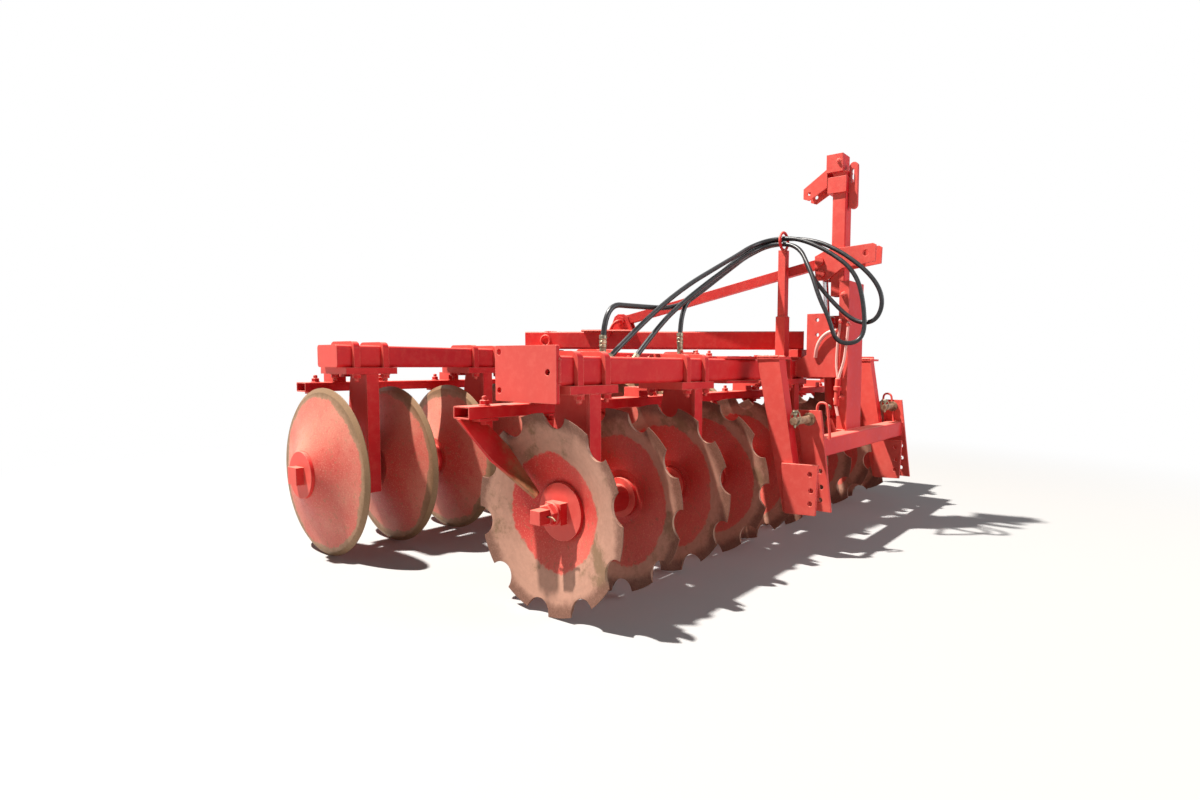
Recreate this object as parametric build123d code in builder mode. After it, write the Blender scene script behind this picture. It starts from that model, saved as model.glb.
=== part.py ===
from build123d import *
from collections import namedtuple
from math import atan2, cos, degrees, hypot, pi, radians, sin, sqrt, tan
import os

os.makedirs("parts", exist_ok=True)

# A mounted two-row disc harrow. Millimetres, floor at Z 0, X across the machine with its right side at -X,
# Y rearwards, so that the tractor is at -Y. The origin is on the floor under the middle of the machine.

# Driving dimensions of the discs
disc_pitch = 252
discs_per_gang = 10
disc_t = 6
flat_r = 84
disc_ball_r = 620
edge_t = 2
bevel = 16
notch_count = 10
notch_r = 43
notch_at = 283
notch_phase = -83

# Axles, spools and bearings
axle_side = 38
spool_bore_r = 27
spool_r = 42
spool_flange_r = 62
spool_flange_t = 14
washer_r = 82
washer_t = 12
nut_side = 60
nut_t = 26
journal_r = 36
running_gap = 0.06
housing_r = 70
housing_w = 56
bearing_side_gap = 2
hanger_from_disc = 41

# Beams
beam_w = 140
beam_h = 80
beam_wall = 8
beam_cap_t = 6
beam_corner = 12
beam_behind_axle = 5

# The upright pin on which the rear row turns under the main beam
pivot_x = -97
pivot_r = 25
boss_r = 62
boss_h = 4

# Each row: right-hand disc's rim, axle line, disc radius and depth, which way the hollow side faces,
# the axle's two ends, the beam's two ends and underside, the discs that have a hanger, and the scraper bar.
Row = namedtuple(
    "Row",
    "name rim_x y r dish face axle_a axle_b beam_a beam_b beam_z hangers bar_a bar_b bar_z notched",
)
rows = [
    Row("front", -1100, -481, 280, 65, -1, -1137, 1287, -1106, 1268, 634, (0, 2, 5, 8), -1222, 1186, 540, True),
    Row("rear", -1175, 574, 300, 70, 1, -1287, 1075, -1158, 1100, 673, (1, 3, 6, 9), -1165, 1204, 580, False),
]

# Hangers and their clamps
plate_t = 24
plate_half = 95
plate_past_beam = 28
hanger_flange_w = 45
hanger_flange_t = 12
hanger_front = 81
hanger_web_t = 14
web_top = 62
hanger_below = 85
strap_w = 22
strap_t = 14
strap_apart = 54

# Scraper bars and blades
bar_w = 70
bar_h = 35
bar_wall = 4
bar_behind_axle = 195
blade_t = 8
blade_root_w = 78
blade_belly_w = 104
blade_tip_w = 40
blade_belly_at = 0.45
blade_root_x = 92
blade_root_y = 8
blade_tip_x = 26
blade_tip_y = 62
blade_tip_z = 42

# Three-point hitch
hitch_x = 370
lower_pitch = 965
lower_pin_z = 493
lower_pin_y = -782
lower_pin_r = 14
top_hole_z = 1156
top_hole_y = -832
top_hole_r = 12.85
bracket_t = 12


def hub_x(row, k):
    """Hollow side of disc k at its flat middle."""
    return row.rim_x + disc_pitch * k - row.face * row.dish


def back_x(row, k):
    """Bulging side of disc k at its flat middle."""
    return hub_x(row, k) - row.face * disc_t


def hanger_x(row, k):
    return back_x(row, k) - row.face * hanger_from_disc


def across(x, y, z):
    """A plane square to the axles: its own X runs rearwards, its own Y up."""
    return Plane(origin=(x, y, z), x_dir=(0, 1, 0), z_dir=(1, 0, 0))


def finish(piece, name):
    piece.part.label = name
    export_step(piece.part, f"parts/{name}.step")
    print(name, round(piece.part.volume / 1000), "cm3")


def rect_tube(width, height, wall, corner):
    """A hollow section's outline, drawn about the current sketch's origin."""
    RectangleRounded(width, height, corner)
    RectangleRounded(width - 2 * wall, height - 2 * wall, max(corner - wall, 1), mode=Mode.SUBTRACT)


# Discs, axles and spools of both rows
for row in rows:
    chord = hypot(row.dish, row.r - flat_r)
    sagitta = disc_ball_r - sqrt(disc_ball_r**2 - (chord / 2) ** 2)
    outward = -row.face
    # The profile lies in XY, with Y as the distance from the axle. It is revolved about X.
    with BuildPart() as disc:
        with BuildSketch(Plane.XY):
            with BuildLine():
                hub = outward * row.dish
                back = hub + outward * disc_t
                Polyline((hub, 0), (back, 0), (back, flat_r))
                shoulder = (outward * (disc_t + 6), row.r - bevel)
                SagittaArc((back, flat_r), shoulder, outward * sagitta)
                Polyline(shoulder, (outward * edge_t, row.r), (0, row.r))
                SagittaArc((0, row.r), (hub, flat_r), -outward * sagitta)
                Line((hub, flat_r), (hub, 0))
            make_face()
        revolve(axis=Axis.X)
        with BuildSketch(Plane.YZ.offset(-120)):
            Rectangle(axle_side, axle_side)
        extrude(amount=240, mode=Mode.SUBTRACT)
        if row.notched:
            with BuildSketch(across(-120, 0, 0)):
                for n in range(notch_count):
                    angle = radians(notch_phase + n * 360 / notch_count)
                    with Locations((notch_at * cos(angle), notch_at * sin(angle))):
                        Circle(notch_r)
            extrude(amount=240, mode=Mode.SUBTRACT)

    with BuildPart() as discs:
        for k in range(discs_per_gang):
            turn = 90 * (k % 2)
            with Locations(Location((row.rim_x + disc_pitch * k, row.y, row.r), (turn, 0, 0))):
                add(disc.part)
    finish(discs, f"{row.name}_discs")

    first = min(hub_x(row, 0), back_x(row, 0))
    last = max(hub_x(row, discs_per_gang - 1), back_x(row, discs_per_gang - 1))
    with BuildPart() as axle:
        with BuildSketch(across(row.axle_a, row.y, row.r)):
            Rectangle(axle_side, axle_side)
        extrude(amount=row.axle_b - row.axle_a)
        for face_x, way in ((first, -1), (last, 1)):
            with BuildSketch(across(face_x, row.y, row.r)):
                Circle(washer_r)
            extrude(amount=way * washer_t)
            with BuildSketch(across(face_x + way * washer_t, row.y, row.r)):
                Rectangle(nut_side, nut_side)
            extrude(amount=way * nut_t)
    finish(axle, f"{row.name}_axle")

    with BuildPart() as spools:
        for k in range(discs_per_gang - 1):
            low = max(hub_x(row, k), back_x(row, k))
            high = min(hub_x(row, k + 1), back_x(row, k + 1))
            carrier = k if row.face < 0 else k + 1
            with BuildSketch(Plane(origin=(0, row.y, row.r), x_dir=(1, 0, 0), z_dir=(0, -1, 0))):
                with BuildLine():
                    if carrier in row.hangers:
                        centre = hanger_x(row, carrier)
                        left = centre - housing_w / 2 - bearing_side_gap
                        right = centre + housing_w / 2 + bearing_side_gap
                        near_r = spool_flange_r if row.face > 0 else spool_r + 6
                        far_r = spool_flange_r if row.face < 0 else spool_r + 6
                        left_run = [(low, near_r), (min(low + spool_flange_t, left), near_r)]
                        if low + spool_flange_t < left:
                            left_run += [(low + spool_flange_t, spool_r), (left, spool_r)]
                        right_run = [(high, far_r)]
                        if high - spool_flange_t > right:
                            right_run = [
                                (right, spool_r),
                                (high - spool_flange_t, spool_r),
                                (high - spool_flange_t, far_r),
                            ] + right_run
                        else:
                            right_run = [(right, far_r)] + right_run
                        Polyline(
                            (low, spool_bore_r),
                            *left_run,
                            (left, journal_r),
                            (right, journal_r),
                            *right_run,
                            (high, spool_bore_r),
                            close=True,
                        )
                    else:
                        Polyline(
                            (low, spool_bore_r),
                            (low, spool_flange_r),
                            (low + spool_flange_t, spool_flange_r),
                            (low + spool_flange_t, spool_r),
                            (high - spool_flange_t, spool_r),
                            (high - spool_flange_t, spool_flange_r),
                            (high, spool_flange_r),
                            (high, spool_bore_r),
                            close=True,
                        )
                make_face()
            revolve(axis=Axis((0, row.y, row.r), (1, 0, 0)))
    finish(spools, f"{row.name}_spools")

# Beams over the axles
for row in rows:
    beam_y = row.y + beam_behind_axle
    with BuildPart() as beam:
        with BuildSketch(across(row.beam_a, beam_y, row.beam_z + beam_h / 2)):
            rect_tube(beam_w, beam_h, beam_wall, beam_corner)
        extrude(amount=row.beam_b - row.beam_a)
        if row.name == "rear":
            for end in (row.beam_a, row.beam_b - beam_cap_t):
                with BuildSketch(across(end, beam_y, row.beam_z + beam_h / 2)):
                    RectangleRounded(beam_w, beam_h, beam_corner)
                extrude(amount=beam_cap_t)
            with BuildSketch(Plane.XY.offset(row.beam_z - 1)):
                with Locations((pivot_x, beam_y)):
                    Circle(pivot_r + running_gap)
            extrude(amount=beam_h + 2, mode=Mode.SUBTRACT)
            with BuildSketch(Plane.XY.offset(row.beam_z + beam_h)):
                with Locations((pivot_x, beam_y)):
                    Circle(boss_r)
                    Circle(pivot_r + running_gap, mode=Mode.SUBTRACT)
            extrude(amount=boss_h)
    finish(beam, f"{row.name}_beam")

    # Hangers: a plate under the beam, a web and a front flange down to the bearing housing
    plate_top = row.beam_z
    plate_low = plate_top - plate_t
    flange_y = row.y - hanger_front
    web_front = flange_y + hanger_flange_t
    plate_rear = beam_y + beam_w / 2 + plate_past_beam
    for n, k in enumerate(row.hangers, start=1):
        x = hanger_x(row, k)
        with BuildPart() as hanger:
            with BuildSketch(Plane.XY.offset(plate_low)):
                with Locations((x, (flange_y + plate_rear) / 2)):
                    Rectangle(2 * plate_half, plate_rear - flange_y)
            extrude(amount=plate_t)
            with BuildSketch(across(x - hanger_web_t / 2, 0, 0)):
                with BuildLine():
                    Polyline(
                        (web_front, plate_low),
                        (web_front, row.r - hanger_below + 22),
                        (row.y, row.r - housing_r + 4),
                        (row.y + housing_r - 12, row.r + 10),
                    )
                    SagittaArc((row.y + housing_r - 12, row.r + 10), (row.y + web_top, plate_low), -20)
                    Line((row.y + web_top, plate_low), (web_front, plate_low))
                make_face()
            extrude(amount=hanger_web_t)
            with BuildSketch(across(x - hanger_flange_w / 2, 0, 0)):
                with Locations((flange_y + hanger_flange_t / 2, (plate_low + row.r - hanger_below) / 2)):
                    Rectangle(hanger_flange_t, plate_low - row.r + hanger_below)
            extrude(amount=hanger_flange_w)
            with BuildSketch(across(x - housing_w / 2, row.y, row.r)):
                Circle(housing_r)
            extrude(amount=housing_w)
            with BuildSketch(across(x - housing_w / 2 - 1, row.y, row.r)):
                Circle(journal_r + running_gap)
            extrude(amount=housing_w + 2, mode=Mode.SUBTRACT)
        finish(hanger, f"{row.name}_hanger_{n}")

    with BuildPart() as straps:
        for k in row.hangers:
            for side in (-1, 1):
                strap_x = hanger_x(row, k) + side * strap_apart - strap_w / 2
                with BuildSketch(across(strap_x, beam_y, 0)):
                    with BuildLine():
                        outer = beam_w / 2 + strap_t
                        top = row.beam_z + beam_h + strap_t
                        FilletPolyline(
                            (-outer, plate_top),
                            (-outer, top),
                            (outer, top),
                            (outer, plate_top),
                            radius=beam_corner + strap_t,
                        )
                        Line((outer, plate_top), (beam_w / 2, plate_top))
                        FilletPolyline(
                            (beam_w / 2, plate_top),
                            (beam_w / 2, top - strap_t),
                            (-beam_w / 2, top - strap_t),
                            (-beam_w / 2, plate_top),
                            radius=beam_corner,
                        )
                        Line((-beam_w / 2, plate_top), (-outer, plate_top))
                    make_face()
                extrude(amount=strap_w)
    finish(straps, f"{row.name}_straps")

# Scraper bars on arms behind the hangers, and one blade against each disc's hollow side
for row in rows:
    bar_y = row.y + bar_behind_axle
    with BuildPart() as bar:
        with BuildSketch(across(row.bar_a, bar_y, row.bar_z + bar_h / 2)):
            rect_tube(bar_w, bar_h, bar_wall, 5)
        extrude(amount=row.bar_b - row.bar_a)
    finish(bar, f"{row.name}_scraper_bar")

    plate_rear = row.y + beam_behind_axle + beam_w / 2 + plate_past_beam
    arm_top = row.beam_z - plate_t
    with BuildPart() as arms:
        for k in row.hangers:
            with BuildSketch(across(hanger_x(row, k) - 25, 0, 0)):
                with BuildLine():
                    Polyline(
                        (plate_rear - 28, arm_top),
                        (bar_y + 35, arm_top),
                        (bar_y + 35, row.bar_z + bar_h),
                        (bar_y - 35, row.bar_z + bar_h),
                        (bar_y - 35, arm_top - 12),
                        (plate_rear - 28, arm_top - 12),
                        close=True,
                    )
                make_face()
            extrude(amount=50)
    finish(arms, f"{row.name}_scraper_arms")

    with BuildPart() as blades:
        for k in range(discs_per_gang):
            rim = row.rim_x + disc_pitch * k
            hollow = row.face
            root = Vector(rim + hollow * blade_root_x, bar_y + blade_root_y, row.bar_z)
            tip = Vector(rim - hollow * blade_tip_x, row.y + blade_tip_y, row.r + blade_tip_z)
            along = (tip - root).normalized()
            root_wide = Vector(1, 0, 0)
            tip_wide = along.cross(Vector(0.8, 0, 0.45 * hollow)).cross(along).normalized()
            belly = root + (tip - root) * blade_belly_at
            belly_wide = (root_wide + tip_wide).normalized()
            with BuildSketch(Plane(origin=root, x_dir=root_wide, z_dir=(0, 0, -1))):
                Rectangle(blade_root_w, blade_t)
            with BuildSketch(Plane(origin=belly, x_dir=belly_wide, z_dir=along)):
                Rectangle(blade_belly_w, blade_t)
            with BuildSketch(Plane(origin=tip, x_dir=tip_wide, z_dir=along)):
                Rectangle(blade_tip_w, blade_t)
            loft(ruled=True)
    finish(blades, f"{row.name}_scrapers")

front, rear = rows
front_face_y = front.y + beam_behind_axle - beam_w / 2
front_back_y = front_face_y + beam_w
front_top_z = front.beam_z + beam_h
rear_face_y = rear.y + beam_behind_axle - beam_w / 2
pivot_y = rear.y + beam_behind_axle

# Bolting plates on both ends of the front beam, which reach behind it
end_plate_w = 246
end_plate_h = 155
end_plate_t = 12
end_plate_low = 587
end_hole_r = 9
end_holes = ((-513, 670), (-317, 617), (-317, 724))
with BuildPart() as end_plates:
    for x in (front.beam_a - end_plate_t, front.beam_b):
        with BuildSketch(across(x, front_face_y, end_plate_low)):
            with Locations((end_plate_w / 2, end_plate_h / 2)):
                RectangleRounded(end_plate_w, end_plate_h, 5)
        extrude(amount=end_plate_t)
        with BuildSketch(across(x - 1, 0, 0)):
            with Locations(*end_holes):
                Circle(end_hole_r)
        extrude(amount=end_plate_t + 2, mode=Mode.SUBTRACT)
finish(end_plates, "end_plates")

# Main beam, slanting from above the rear pivot to the headstock
main_w = 80
main_h = 83
main_wall = 6
main_low = 762
main_rear = Vector(-139, 691, main_low + main_h / 2)
main_front = Vector(436, -513, main_low + main_h / 2)
main_run = main_front - main_rear
main_plane = Plane(origin=main_rear, x_dir=main_run.cross(Vector(0, 0, 1)), z_dir=main_run)
with BuildPart() as main_beam:
    with BuildSketch(main_plane):
        rect_tube(main_w, main_h, main_wall, 8)
    extrude(amount=main_run.length)
    with BuildSketch(Plane.XY.offset(main_low - 1)):
        with Locations((pivot_x, pivot_y)):
            Circle(pivot_r)
    extrude(amount=main_h + 2, mode=Mode.SUBTRACT)
finish(main_beam, "main_beam")

# The rear row's pin, with its head on the main beam and a collar under the rear beam
collar_t = 24
collar_low = rear.beam_z - 32
head_t = 14
with BuildPart() as pin:
    with BuildSketch(Plane.XY.offset(collar_low)):
        with Locations((pivot_x, pivot_y)):
            Circle(pivot_r)
    extrude(amount=main_low + main_h + head_t - collar_low)
    for low, thick, r in ((main_low + main_h, head_t, 40), (collar_low, collar_t, 38)):
        with BuildSketch(Plane.XY.offset(low)):
            with Locations((pivot_x, pivot_y)):
                RegularPolygon(r, 6)
        extrude(amount=thick)
finish(pin, "pivot_pin")

# Saddle that carries the main beam on the front beam
saddle_x = 418
with BuildPart() as saddle:
    with BuildSketch(Plane.XY.offset(front_top_z)):
        with Locations((saddle_x, front.y + beam_behind_axle)):
            Rectangle(130, beam_w - 20)
    extrude(amount=main_low - front_top_z)
    chamfer(saddle.edges().filter_by(Axis.Z), 12)
finish(saddle, "beam_saddle")

# Headstock: each leg stands in a gap between two discs, with a short plate outside it and a long one inside.
near_x = hitch_x - lower_pitch / 2
far_x = hitch_x + lower_pitch / 2
outer_half = 36
inner_half = 42
leg_t = 50
leg = ((-599, front_top_z), (-690, front_top_z), (-784, 155), (-717, 149))
short_plate = ((-713, 332), (-857, 336), (-849, 153), (-730, 147))
long_plate = ((-724, 525), (-824, 526), (-872, 152), (-751, 152), (-749, 400))
plate_holes = ((-827, 301), (-832, 242), (-829, 194))
plate_hole_r = 9.5
tie = ((-784, 155), (-784, 175), (-750, 175), (-750, 155))
with BuildPart() as legs:
    for clevis_x in (near_x, far_x):
        with BuildSketch(across(clevis_x - outer_half, 0, 0)):
            with BuildLine():
                Polyline(*leg, close=True)
            make_face()
        extrude(amount=leg_t)
        with BuildSketch(across(clevis_x - outer_half + leg_t, 0, 0)):
            with BuildLine():
                Polyline(*tie, close=True)
            make_face()
        extrude(amount=outer_half + inner_half - leg_t)
finish(legs, "headstock_legs")

# Plates above and below the front beam that hold the legs' tops
grip_w = 226
grip_t = 10
grip_low_front = -615
grip_top_front = -694
with BuildPart() as grips:
    for x in (-172, 812):
        for low, reach in ((front_top_z, grip_top_front), (front.beam_z - grip_t, grip_low_front)):
            with BuildSketch(Plane.XY.offset(low)):
                with Locations((x, (reach + front_back_y) / 2)):
                    Rectangle(grip_w, front_back_y - reach)
            extrude(amount=grip_t)
finish(grips, "leg_grip_plates")

with BuildPart() as hitch_plates:
    for clevis_x in (near_x, far_x):
        with BuildSketch(across(clevis_x - outer_half - bracket_t, 0, 0)):
            with BuildLine():
                Polyline(*short_plate, close=True)
            make_face()
            with Locations(*plate_holes):
                Circle(plate_hole_r, mode=Mode.SUBTRACT)
        extrude(amount=bracket_t)
    for clevis_x in (near_x, far_x):
        with BuildSketch(across(clevis_x + inner_half, 0, 0)):
            with BuildLine():
                Polyline(*long_plate, close=True)
            make_face()
            with Locations(*plate_holes):
                Circle(plate_hole_r, mode=Mode.SUBTRACT)
            with Locations((lower_pin_y, lower_pin_z)):
                Circle(lower_pin_r, mode=Mode.SUBTRACT)
        extrude(amount=bracket_t)
finish(hitch_plates, "hitch_plates")

pin_reach = 138
pin_collar_r = 24
linch_r = 6
with BuildPart() as hitch_pins:
    for clevis_x in (near_x, far_x):
        plate_x = clevis_x + inner_half
        with BuildSketch(across(plate_x - pin_reach, lower_pin_y, lower_pin_z)):
            Circle(lower_pin_r)
        extrude(amount=pin_reach + bracket_t)
        for collar_x, thick in ((plate_x - 14, 14), (plate_x + bracket_t, 18)):
            with BuildSketch(across(collar_x, lower_pin_y, lower_pin_z)):
                Circle(pin_collar_r)
            extrude(amount=thick)
        with BuildSketch(Plane.XY.offset(lower_pin_z - 40)):
            with Locations((plate_x - pin_reach + 12, lower_pin_y)):
                Circle(linch_r)
        extrude(amount=80, mode=Mode.SUBTRACT)
finish(hitch_pins, "hitch_pins")

# Cross tube between the two long plates, ahead of the discs
cross_side = 70
cross_y = -794
cross_z = 385
cross_a = near_x + inner_half + bracket_t
cross_b = far_x + inner_half
with BuildPart() as cross_tube:
    with BuildSketch(across(cross_a, cross_y, cross_z)):
        rect_tube(cross_side, cross_side, 6, 8)
    extrude(amount=cross_b - cross_a)
finish(cross_tube, "cross_tube")

# Mast: a wide box on the cross tube, two cheeks back to the front beam, and a square tube behind the box
mast_w = 164
mast_front = -782
mast_back = -739
mast_low = cross_z + cross_side / 2
mast_top = 1042
with BuildPart() as mast_box:
    with BuildSketch(Plane.XY.offset(mast_low)):
        with Locations((hitch_x, (mast_front + mast_back) / 2)):
            Rectangle(mast_w, mast_back - mast_front)
            Rectangle(mast_w - 12, mast_back - mast_front - 12, mode=Mode.SUBTRACT)
    extrude(amount=mast_top - mast_low)
    with BuildSketch(Plane.XY.offset(mast_top)):
        with Locations((hitch_x, (mast_front + mast_back) / 2)):
            Rectangle(mast_w, mast_back - mast_front)
    extrude(amount=-6)
finish(mast_box, "mast_box")

cheek = (
    (front_face_y, 642),
    (front_face_y, 710),
    (-596, 736),
    (-596, 912),
    (-687, 912),
    (mast_back, 796),
    (mast_back, 642),
)
with BuildPart() as cheeks:
    for x in (hitch_x - mast_w / 2, hitch_x + mast_w / 2 - bracket_t):
        with BuildSketch(across(x, 0, 0)):
            with BuildLine():
                Polyline(*cheek, close=True)
            make_face()
            with Locations((-643, 885), (-644, 822)):
                Circle(8, mode=Mode.SUBTRACT)
        extrude(amount=bracket_t)
finish(cheeks, "mast_cheeks")

tube_side = 62
tube_y = mast_back + tube_side / 2
tube_low = 988
tube_top = 1503
with BuildPart() as mast_tube:
    with BuildSketch(Plane.XY.offset(tube_low)):
        with Locations((hitch_x, tube_y)):
            rect_tube(tube_side, tube_side, 6, 6)
    extrude(amount=tube_top - tube_low)
finish(mast_tube, "mast_tube")

# Plates on both sides of the tube: the top link's hole in front, the stay's and the cylinder's pins behind
stay_pin = (-632, 1136)
rod_pin = (-638, 1084)
link_pin_r = 12
top_plate_t = 10
top_plate = (
    (-607, 1111),
    (-607, 1160),
    (-663, 1185),
    (-778, 1189),
    (-862, 1193),
    (-874, 1186),
    (-872, 1119),
    (-731, 1102),
    (-664, 1056),
    (-614, 1056),
)
plate_xs = (hitch_x - tube_side / 2 - top_plate_t, hitch_x + tube_side / 2)
with BuildPart() as top_plates:
    for x in plate_xs:
        with BuildSketch(across(x, 0, 0)):
            with BuildLine():
                Polyline(*top_plate, close=True)
            make_face()
            with Locations((top_hole_y, top_hole_z)):
                Circle(top_hole_r, mode=Mode.SUBTRACT)
            with Locations(stay_pin, rod_pin):
                Circle(link_pin_r, mode=Mode.SUBTRACT)
        extrude(amount=top_plate_t)
finish(top_plates, "top_link_plates")

# Head of the mast: a box on the tube, a collar, a round-cornered front plate and a channel arm to the rear
arm = ((-656, 1445), (-656, 1521), (-548, 1452), (-548, 1410), (-574, 1400))
with BuildPart() as mast_head:
    with BuildSketch(Plane.XY.offset(tube_top)):
        with Locations((hitch_x - 6, -689)):
            Rectangle(76, 72)
    extrude(amount=74)
    with BuildSketch(Plane.XY.offset(1417)):
        with Locations((hitch_x, -700)):
            Rectangle(tube_side + 20, 82)
        with Locations((hitch_x, tube_y)):
            Rectangle(tube_side, tube_side, mode=Mode.SUBTRACT)
    extrude(amount=66)
    with BuildSketch(across(hitch_x - 8, -759, 1446)):
        RectangleRounded(36, 192, 17)
        with Locations((4, 40)):
            SlotOverall(60, 12, rotation=90, mode=Mode.SUBTRACT)
    extrude(amount=16)
    for x in (hitch_x - 41, hitch_x + 35):
        with BuildSketch(across(x, 0, 0)):
            with BuildLine():
                Polyline(*arm, close=True)
            make_face()
            with Locations((-575, 1430)):
                Circle(8, mode=Mode.SUBTRACT)
        extrude(amount=6)
    with BuildSketch(across(hitch_x - 35, 0, 0)):
        with BuildLine():
            Polyline((-656, 1521), (-548, 1452), (-548, 1445), (-656, 1514), close=True)
        make_face()
    extrude(amount=70)
finish(mast_head, "mast_head")

# Stay from the mast's plates down to a bracket on the main beam
stay_low = Vector(69, 256, 895)
stay_high = Vector(hitch_x, *stay_pin)
stay_flat = Vector(stay_high.X - stay_low.X, stay_high.Y - stay_low.Y, 0)
stay_len = stay_flat.length
stay_rise = stay_high.Z - stay_low.Z
stay_tilt = degrees(atan2(stay_rise, stay_len))
stay_side = 40
eye_r = 25
stay_plane = Plane(
    origin=(stay_low.X, stay_low.Y, 0),
    x_dir=stay_flat,
    z_dir=stay_flat.cross(Vector(0, 0, 1)),
)
with BuildPart() as stay:
    with BuildSketch(stay_plane.offset(-stay_side / 2)):
        with Locations((0, stay_low.Z)):
            Circle(eye_r)
        with Locations(Location((stay_len / 2, stay_low.Z + stay_rise / 2), stay_tilt)):
            Rectangle(hypot(stay_len, stay_rise) - 10, stay_side)
    extrude(amount=stay_side)
    with BuildSketch(across(hitch_x - tube_side / 2, *stay_pin)):
        Circle(eye_r)
    extrude(amount=tube_side)
    with BuildSketch(across(hitch_x - tube_side, *stay_pin)):
        Circle(link_pin_r)
    extrude(amount=2 * tube_side, mode=Mode.SUBTRACT)
    with BuildSketch(stay_plane.offset(-stay_side)):
        with Locations((0, stay_low.Z)):
            Circle(link_pin_r)
    extrude(amount=2 * stay_side, mode=Mode.SUBTRACT)
finish(stay, "stay")

lug_t = 10
main_top = main_low + main_h
with BuildPart() as stay_bracket:
    for side in (-stay_side / 2 - lug_t, stay_side / 2):
        with BuildSketch(stay_plane.offset(side)):
            with BuildLine():
                Polyline((-60, main_top), (-32, 915), (-14, 927), (14, 927), (32, 915), (60, main_top), close=True)
            make_face()
            with Locations((0, stay_low.Z)):
                Circle(link_pin_r, mode=Mode.SUBTRACT)
        extrude(amount=lug_t)
finish(stay_bracket, "stay_bracket")

# Pins of the stay and of the cylinder's rod, with their heads
head_r = 19
with BuildPart() as link_pins:
    for pin_at in (stay_pin, rod_pin):
        with BuildSketch(across(plate_xs[0], *pin_at)):
            Circle(link_pin_r)
        extrude(amount=tube_side + 2 * top_plate_t)
        for x in (plate_xs[0] - 12, plate_xs[1] + top_plate_t):
            with BuildSketch(across(x, *pin_at)):
                Circle(head_r)
            extrude(amount=12)
    half = stay_side / 2 + lug_t
    with BuildSketch(stay_plane.offset(-half)):
        with Locations((0, stay_low.Z)):
            Circle(link_pin_r)
    extrude(amount=2 * half)
    for side in (-half - 12, half):
        with BuildSketch(stay_plane.offset(side)):
            with Locations((0, stay_low.Z)):
                Circle(head_r)
        extrude(amount=12)
finish(link_pins, "link_pins")

# Hydraulic cylinder behind the mast: foot pin on lugs of the cross tube, rod pin in the plates
foot_pin = (-690, 442)
ram_run = Vector(0, rod_pin[0] - foot_pin[0], rod_pin[1] - foot_pin[1])
ram_plane = Plane(origin=(hitch_x, *foot_pin), x_dir=(1, 0, 0), z_dir=ram_run)
ram_r = 29
ram_rod_r = 13
ram_barrel_start = 34
ram_barrel_end = 430
with BuildPart() as ram:
    with BuildSketch(ram_plane):
        Circle(14)
    extrude(amount=ram_barrel_start)
    with BuildSketch(ram_plane.offset(ram_barrel_start)):
        Circle(ram_r)
    extrude(amount=ram_barrel_end - ram_barrel_start)
    with BuildSketch(ram_plane.offset(ram_barrel_end)):
        Circle(ram_r + 4)
    extrude(amount=24)
    with BuildSketch(across(hitch_x - 14, *foot_pin)):
        Circle(27)
    extrude(amount=28)
    with BuildSketch(across(hitch_x - 14, *foot_pin)):
        Circle(10)
    extrude(amount=28, mode=Mode.SUBTRACT)
finish(ram, "mast_cylinder")

with BuildPart() as ram_rod:
    with BuildSketch(ram_plane.offset(ram_barrel_end + 24)):
        Circle(ram_rod_r)
    extrude(amount=ram_run.length - ram_barrel_end - 24 - 10)
    with BuildSketch(across(hitch_x - 20, *rod_pin)):
        Circle(24)
    extrude(amount=40)
    with BuildSketch(across(hitch_x - 20, *rod_pin)):
        Circle(link_pin_r)
    extrude(amount=40, mode=Mode.SUBTRACT)
finish(ram_rod, "mast_cylinder_rod")

cross_back = cross_y + cross_side / 2
foot_lug = ((cross_back, 352), (cross_back, 418), (-736, 418), (-712, 464), (-672, 464), (-664, 442), (-676, 416))
with BuildPart() as foot:
    for x in (hitch_x - 14 - lug_t, hitch_x + 14):
        with BuildSketch(across(x, 0, 0)):
            with BuildLine():
                Polyline(*foot_lug, close=True)
            make_face()
        extrude(amount=lug_t)
    with BuildSketch(across(hitch_x - 14, *foot_pin)):
        Circle(10)
    extrude(amount=28)
finish(foot, "mast_cylinder_foot")

# Post on the front beam that carries the hoses in a ring
post_x = 260
post_y = -493
post_top = 1186
socket_top = 902
socket_side = 44
post_side = 34
ring_r = 37
ring_wire_r = 6
ring_turn = 6
with BuildPart() as post:
    with BuildSketch(Plane.XY.offset(front_top_z)):
        with Locations((post_x, post_y)):
            Rectangle(socket_side, socket_side)
    extrude(amount=socket_top - front_top_z)
    with BuildSketch(Plane.XY.offset(socket_top)):
        with Locations((post_x, post_y)):
            Rectangle(post_side, post_side)
    extrude(amount=post_top - socket_top)
    with Locations(Location((post_x, post_y, post_top + ring_r + 2), (90, 0, ring_turn))):
        Torus(ring_r, ring_wire_r)
finish(post, "hose_post")

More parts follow.
